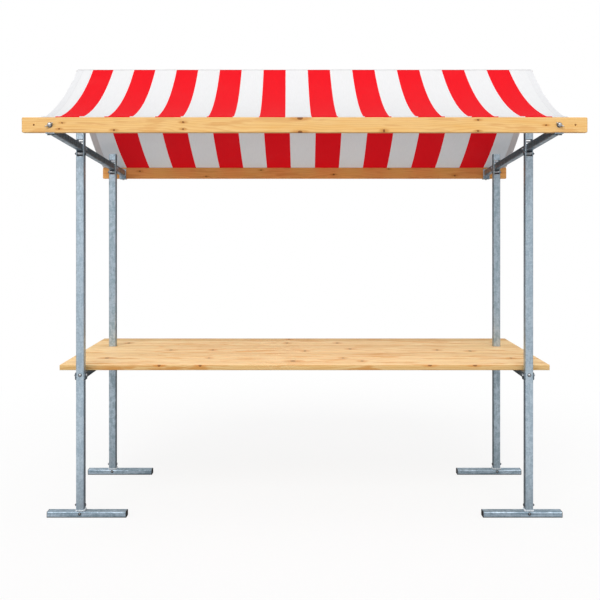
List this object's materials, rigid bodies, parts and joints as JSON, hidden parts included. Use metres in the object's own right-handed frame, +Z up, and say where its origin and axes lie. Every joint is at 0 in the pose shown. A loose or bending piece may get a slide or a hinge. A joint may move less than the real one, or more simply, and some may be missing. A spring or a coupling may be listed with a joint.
{
  "type": "market stall with galvanised steel frame, timber table and striped canopy",
  "caption": "Free-standing market stall: bolted steel posts on foot tubes, sloping roof bars, timber roof beams and table, and a ridged striped canopy.",
  "frame": {"origin": "on the ground, under the middle of the stall's overall box", "axes": "+Z up, -Y towards the customer (the side with the higher roof beam), +X to the right of someone facing the serving side"},
  "size_m": [2.58, 1.615, 2.285],
  "materials": {
    "galvanised_steel": "hot-dip galvanised, matt with a soft grey-blue spangle",
    "zinc_fasteners": "bright zinc-plated fasteners",
    "pine": "planed pine, clear oiled, with small knots",
    "striped_tarpaulin": "woven tarpaulin in red and white stripes with a hemmed edge",
    "black_plastic": "moulded plugs"
  },
  "bodies": {
    "root": {"foot_bolts": "zinc_fasteners", "foot_cross_bolts": "zinc_fasteners", "front_beam": "pine", "front_canopy": "striped_tarpaulin", "front_left_foot": "galvanised_steel", "front_left_foot_caps": "black_plastic", "front_left_head_bolt": "zinc_fasteners", "front_left_post": "galvanised_steel", "front_right_foot": "galvanised_steel", "front_right_foot_caps": "black_plastic", "front_right_head_bolt": "zinc_fasteners", "front_right_post": "galvanised_steel", "front_shelf_screws": "zinc_fasteners", "front_table_board": "pine", "front_wing_screws": "zinc_fasteners", "head_spacers": "galvanised_steel", "keeper_pins": "zinc_fasteners", "left_carrier_bolts": "zinc_fasteners", "left_ridge_strut": "galvanised_steel", "left_roof_bar": "galvanised_steel", "left_stop_bolts": "zinc_fasteners", "left_table_carrier": "galvanised_steel", "lock_screws": "zinc_fasteners", "rear_beam": "pine", "rear_canopy": "striped_tarpaulin", "rear_left_foot": "galvanised_steel", "rear_left_foot_caps": "black_plastic", "rear_left_head_bolt": "zinc_fasteners", "rear_left_post": "galvanised_steel", "rear_right_foot": "galvanised_steel", "rear_right_foot_caps": "black_plastic", "rear_right_head_bolt": "zinc_fasteners", "rear_right_post": "galvanised_steel", "rear_shelf_screws": "zinc_fasteners", "rear_table_board": "pine", "rear_wing_screws": "zinc_fasteners", "ridge_board": "pine", "ridge_bolts": "zinc_fasteners", "right_carrier_bolts": "zinc_fasteners", "right_ridge_strut": "galvanised_steel", "right_roof_bar": "galvanised_steel", "right_stop_bolts": "zinc_fasteners", "right_table_carrier": "galvanised_steel", "strut_bolts": "zinc_fasteners"}
  },
  "joints": []
}
